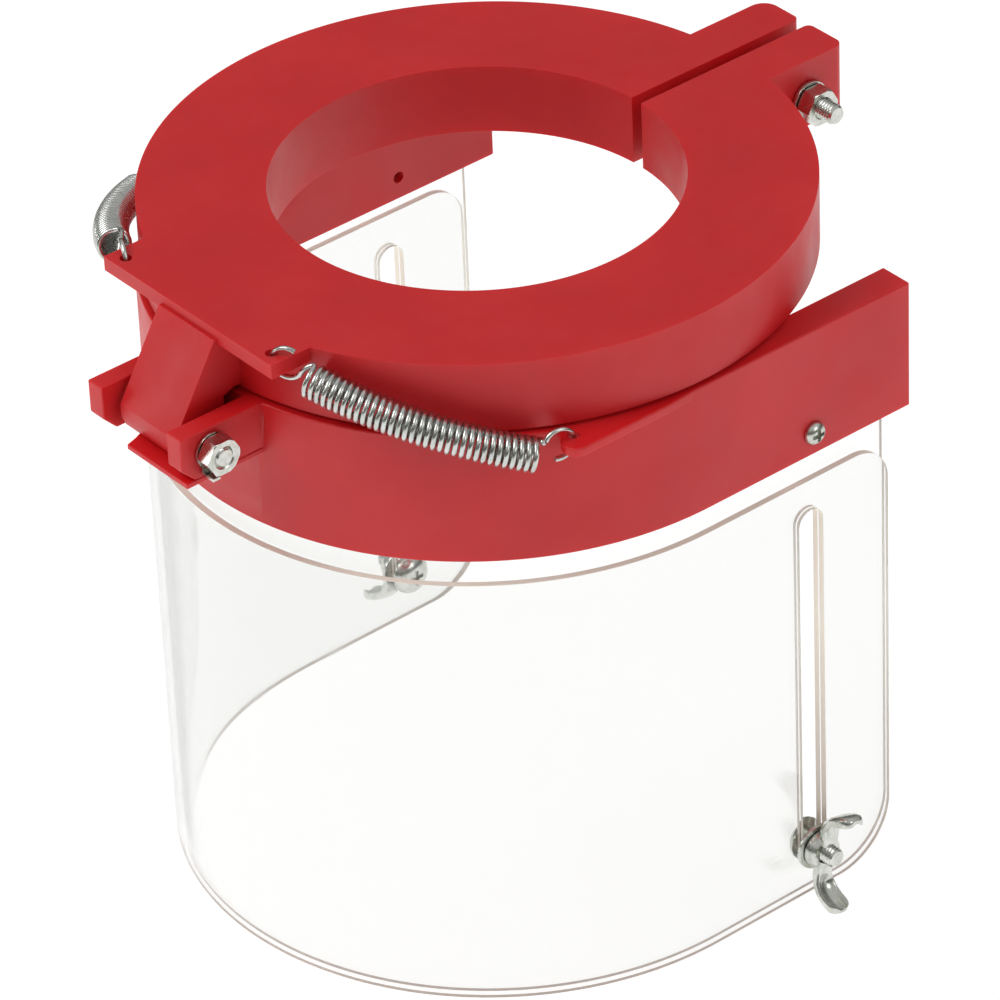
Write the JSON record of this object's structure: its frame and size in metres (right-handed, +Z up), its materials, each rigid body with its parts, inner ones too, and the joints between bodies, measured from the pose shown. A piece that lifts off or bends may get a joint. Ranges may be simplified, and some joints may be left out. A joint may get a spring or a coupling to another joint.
{
  "type": "drill press chuck guard",
  "caption": "Hinged chuck guard for a drill press: red split clamp collar, sprung U-shaped bracket and two telescoping clear curved shields held by wing nuts.",
  "frame": {"origin": "on the axis of the clamp collar's bore, at the collar's top face", "axes": "+Z up along the spindle, -Y towards the operator and the hinge, X across the guard"},
  "size_m": [0.2155, 0.2396, 0.2132],
  "materials": {
    "red_plastic": "satin red moulding",
    "clear_sheet": "clear polycarbonate sheet",
    "zinc_steel": "bright zinc plate",
    "spring_steel": "bright drawn wire"
  },
  "bodies": {
    "clamp": {"clamp_collar": "red_plastic", "clamp_bolt": "zinc_steel", "clamp_nut": "zinc_steel", "clamp_washer_head": "zinc_steel", "clamp_washer_nut": "zinc_steel", "spring_left": "spring_steel", "spring_right": "spring_steel"},
    "guard": {"hinge_bracket": "red_plastic", "hinge_bolt": "zinc_steel", "hinge_nut": "zinc_steel", "hinge_washer": "zinc_steel", "inner_shield": "clear_sheet", "leg_screw_left": "zinc_steel", "leg_screw_right": "zinc_steel", "slide_screw_left": "zinc_steel", "slide_screw_right": "zinc_steel", "slide_washer_left": "zinc_steel", "slide_washer_right": "zinc_steel"},
    "shield": {"outer_shield": "clear_sheet"},
    "wing_left": {"wing_nut_left": "zinc_steel"},
    "wing_right": {"wing_nut_right": "zinc_steel"}
  },
  "joints": [
    {"name": "guard_hinge", "type": "hinge", "parent": "clamp", "child": "guard", "pos_m": [0, -0.1098, -0.029], "axis": [-1, 0, 0], "range_deg": [0, 95], "stiffness_Nm_per_rad": 0.5, "springref_deg": -103.13, "deforming": ["spring_left", "spring_right"]},
    {"name": "shield_slide", "type": "slide", "parent": "guard", "child": "shield", "axis": [0, 0, -1], "range_m": [0, 0.108]},
    {"name": "wing_nut_left_spin", "type": "hinge", "parent": "guard", "child": "wing_left", "pos_m": [-0.0932, 0.036, -0.1945], "axis": [-1, 0, 0], "continuous": true},
    {"name": "wing_nut_right_spin", "type": "hinge", "parent": "guard", "child": "wing_right", "pos_m": [0.0967, 0.036, -0.1945], "axis": [1, 0, 0], "continuous": true}
  ]
}
